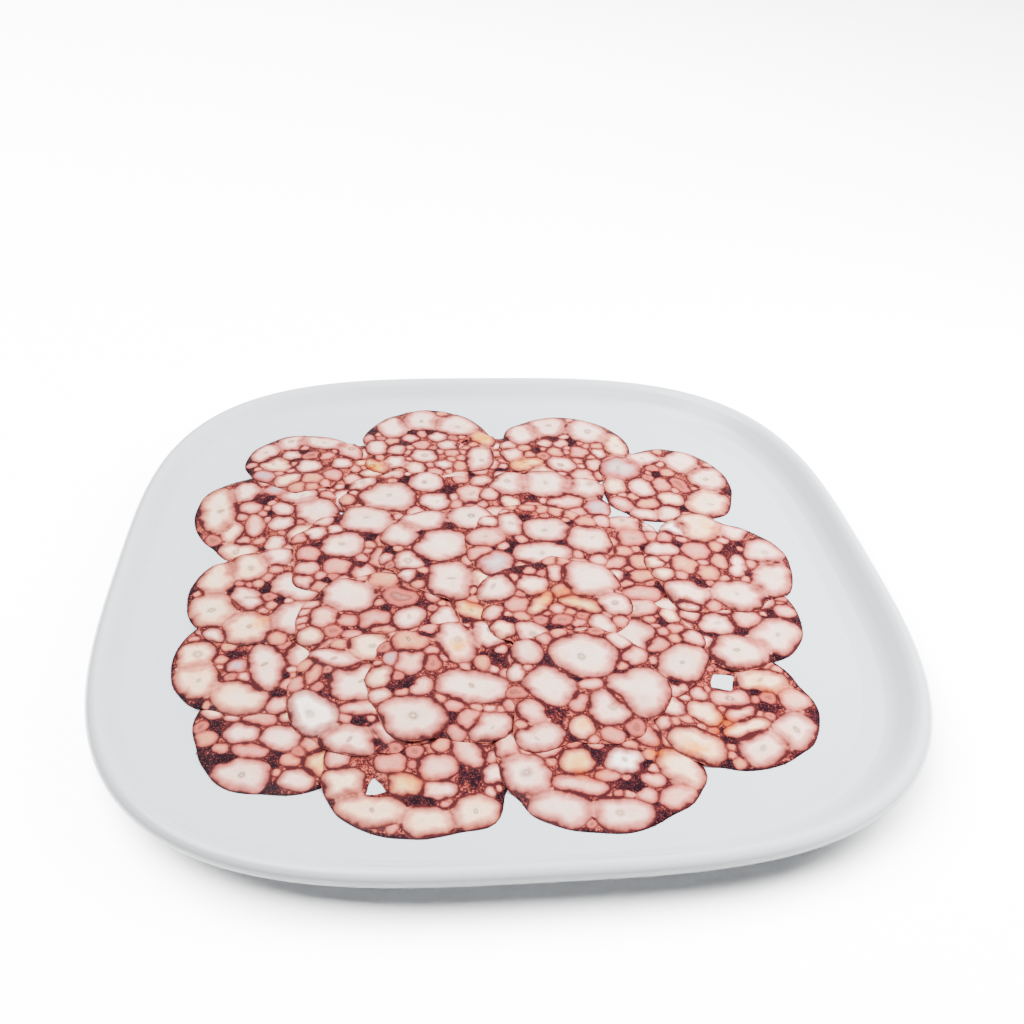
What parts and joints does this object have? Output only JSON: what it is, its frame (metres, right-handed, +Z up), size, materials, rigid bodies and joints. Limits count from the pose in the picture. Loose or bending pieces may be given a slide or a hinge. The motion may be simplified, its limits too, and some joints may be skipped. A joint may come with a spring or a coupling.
{
  "type": "octopus carpaccio on a plate",
  "caption": "Thin round slices of pressed cooked octopus laid in an overlapping rosette on a soft-square white plate with a low rounded rim.",
  "frame": {"origin": "bottom centre of the plate, at the plane it stands on", "axes": "+Z up out of the plate; the plate's sides run along X and Y"},
  "size_m": [0.3, 0.3, 0.0185],
  "materials": {
    "porcelain": "smooth clear glaze",
    "octopus": "moist cut flesh, pale with pink and dark purple skin lines"
  },
  "bodies": {
    "root": {"plate": "porcelain", "slice_01": "octopus", "slice_02": "octopus", "slice_03": "octopus", "slice_04": "octopus", "slice_05": "octopus", "slice_06": "octopus", "slice_07": "octopus", "slice_08": "octopus", "slice_09": "octopus", "slice_10": "octopus", "slice_11": "octopus", "slice_12": "octopus", "slice_13": "octopus", "slice_14": "octopus", "slice_15": "octopus", "slice_16": "octopus", "slice_17": "octopus", "slice_18": "octopus", "slice_19": "octopus", "slice_20": "octopus", "slice_21": "octopus", "slice_22": "octopus", "slice_23": "octopus", "slice_24": "octopus", "slice_25": "octopus", "slice_26": "octopus", "slice_27": "octopus", "slice_28": "octopus"}
  },
  "joints": []
}
